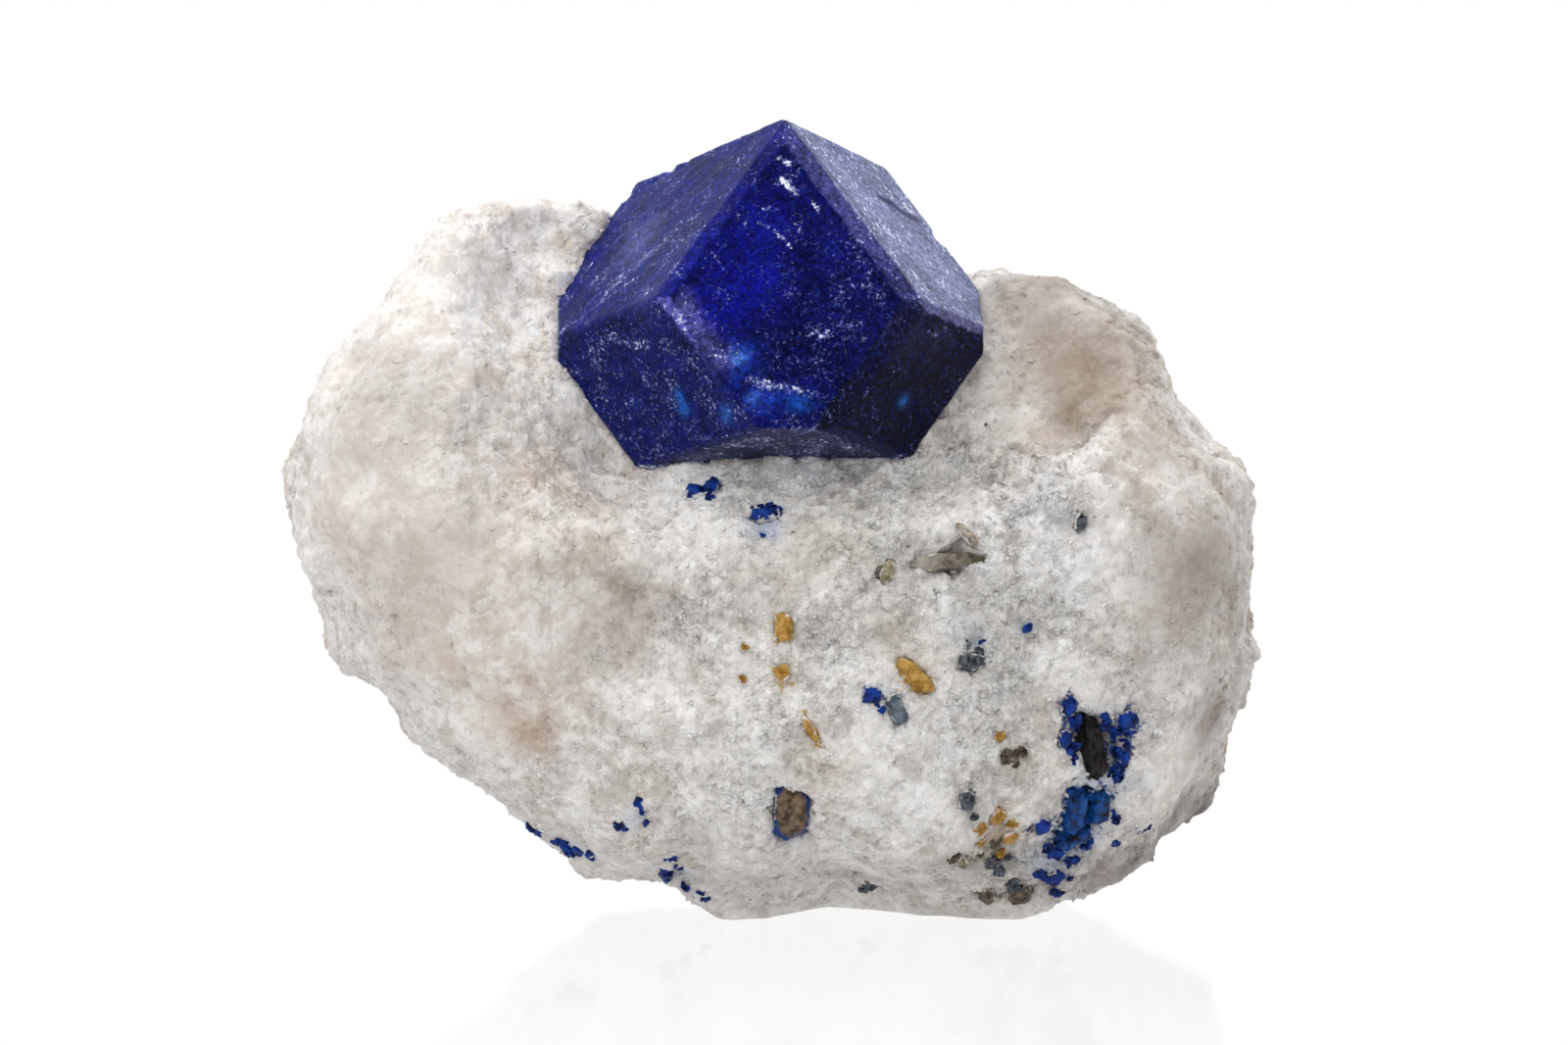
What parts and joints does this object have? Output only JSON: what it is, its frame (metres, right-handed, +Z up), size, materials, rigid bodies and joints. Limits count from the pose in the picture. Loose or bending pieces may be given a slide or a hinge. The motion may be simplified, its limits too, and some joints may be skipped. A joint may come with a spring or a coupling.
{
  "type": "lazurite crystal on marble",
  "caption": "Large blue twelve-faced lazurite crystal set in a loose lump of white sugary marble, with small blue, amber, brown and grey crystals in its face.",
  "frame": {"origin": "on the flat spot of the underside that the specimen rests on, under the middle of the specimen", "axes": "+Z up, +X along the specimen's longest extent to the right as seen from its face, -Y out of the face with the large crystal"},
  "size_m": [0.0699, 0.038, 0.0562],
  "materials": {
    "marble": "broken sugary marble, coarse-grained, slightly translucent",
    "lazurite": "etched crystal faces with a low vitreous gloss",
    "pyroxene": "glossy near-black crystals",
    "amber_mica": "honey-coloured translucent crystals",
    "brown_mica": "brown platy crystals with a soft sheen",
    "diopside": "grey-green glassy crystals"
  },
  "bodies": {
    "root": {"marble_matrix": "marble", "lazurite_crystal": "lazurite", "blue_cluster": "lazurite", "blue_grain_1": "lazurite", "blue_grain_2": "lazurite", "blue_grain_3": "lazurite", "blue_grain_4": "lazurite", "blue_grain_5": "lazurite", "blue_grain_6": "lazurite", "blue_grain_7": "lazurite", "blue_grain_8": "lazurite", "blue_grain_9": "lazurite", "dark_crystal": "pyroxene", "dark_grain_1": "pyroxene", "dark_grain_2": "pyroxene", "dark_grain_3": "pyroxene", "amber_grain_1": "amber_mica", "amber_grain_2": "amber_mica", "amber_grain_3": "amber_mica", "amber_grain_4": "amber_mica", "amber_grain_5": "amber_mica", "amber_prism": "amber_mica", "brown_tablet": "brown_mica", "brown_needle": "brown_mica", "brown_grain_1": "brown_mica", "brown_grain_2": "brown_mica", "grey_prism": "diopside", "grey_grain": "diopside", "olive_grain_1": "diopside", "olive_grain_2": "diopside"}
  },
  "joints": []
}
